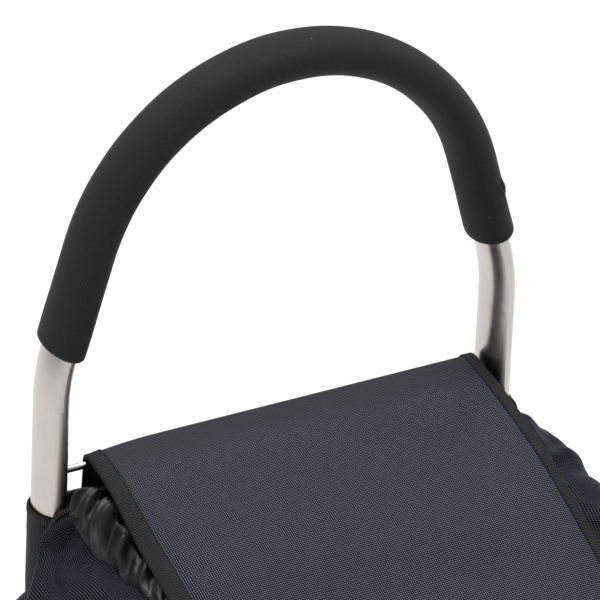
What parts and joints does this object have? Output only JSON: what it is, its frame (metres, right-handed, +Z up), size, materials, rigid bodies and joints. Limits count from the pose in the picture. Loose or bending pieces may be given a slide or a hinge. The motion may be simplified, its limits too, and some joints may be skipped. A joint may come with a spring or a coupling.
{
  "type": "two-wheeled shopping trolley",
  "caption": "Two-wheeled shopping trolley: arched oval aluminium handle with a foam grip, fabric bag with a roll-over lid, folding platform and stand.",
  "frame": {"origin": "centre of the whole trolley's footprint, on the floor", "axes": "+Z up, -Y the front with the bag, X across along the axle"},
  "size_m": [0.4766, 0.3434, 1],
  "materials": {
    "foam": "matte closed-cell foam",
    "aluminium_tube": "satin anodised",
    "chrome_rod": "bright",
    "steel": "zinc plated",
    "painted_rod": "satin black",
    "black_plastic": "fine texture",
    "grey_plastic": "fine texture",
    "bush_plastic": "smooth",
    "foot_rubber": "matte",
    "tyre": "matte",
    "board": "smooth sheet",
    "oxford_cloth": "coated oxford weave",
    "thin_nylon": "thin crumpled nylon",
    "binding_tape": "ribbed tape",
    "hook_and_loop": "hook and loop"
  },
  "bodies": {
    "root": {"frame_tube": "aluminium_tube", "foam_grip": "foam", "top_rod": "chrome_rod", "bracket_rivets": "steel", "lower_cross_tube": "aluminium_tube", "axle": "steel", "stand_foot": "painted_rod", "bag_shell": "oxford_cloth", "rim_binding": "binding_tape", "bag_collar": "thin_nylon", "bag_base": "oxford_cloth", "back_panel": "oxford_cloth", "back_tape": "binding_tape", "loop_strip": "hook_and_loop", "lid_skirt": "oxford_cloth", "left_bracket": "black_plastic", "right_bracket": "black_plastic", "left_foot_pad": "foot_rubber", "right_foot_pad": "foot_rubber", "left_washer": "steel", "right_washer": "steel", "left_clip": "steel", "right_clip": "steel", "left_hinge_pin": "steel", "right_hinge_pin": "steel", "left_sleeve": "oxford_cloth", "right_sleeve": "oxford_cloth", "left_sleeve_ring": "binding_tape", "right_sleeve_ring": "binding_tape"},
    "left_wheel": {"left_tyre": "tyre", "left_rim": "grey_plastic", "left_bushes": "bush_plastic", "left_hub_cap": "black_plastic"},
    "right_wheel": {"right_tyre": "tyre", "right_rim": "grey_plastic", "right_bushes": "bush_plastic", "right_hub_cap": "black_plastic"},
    "platform": {"platform_tray": "black_plastic", "base_board": "board"},
    "lid": {"lid_panel": "oxford_cloth", "lid_binding": "binding_tape", "hook_strip": "hook_and_loop"}
  },
  "joints": [
    {"name": "left_wheel_spin", "type": "hinge", "parent": "root", "child": "left_wheel", "pos_m": [-0.2118, 0.07675, 0.095], "axis": [1, 0, 0], "continuous": true},
    {"name": "right_wheel_spin", "type": "hinge", "parent": "root", "child": "right_wheel", "pos_m": [0.2118, 0.07675, 0.095], "axis": [1, 0, 0], "continuous": true},
    {"name": "platform_fold", "type": "hinge", "parent": "root", "child": "platform", "pos_m": [0, 0.01675, 0.119], "axis": [-1, 0, 0], "range_deg": [0, 88], "deforming": ["bag_shell", "rim_binding", "bag_collar", "bag_base", "loop_strip"]},
    {"name": "lid_open", "type": "hinge", "parent": "root", "child": "lid", "pos_m": [0, 0.07675, 0.7085], "axis": [-1, 0, 0], "range_deg": [0, 84]}
  ]
}
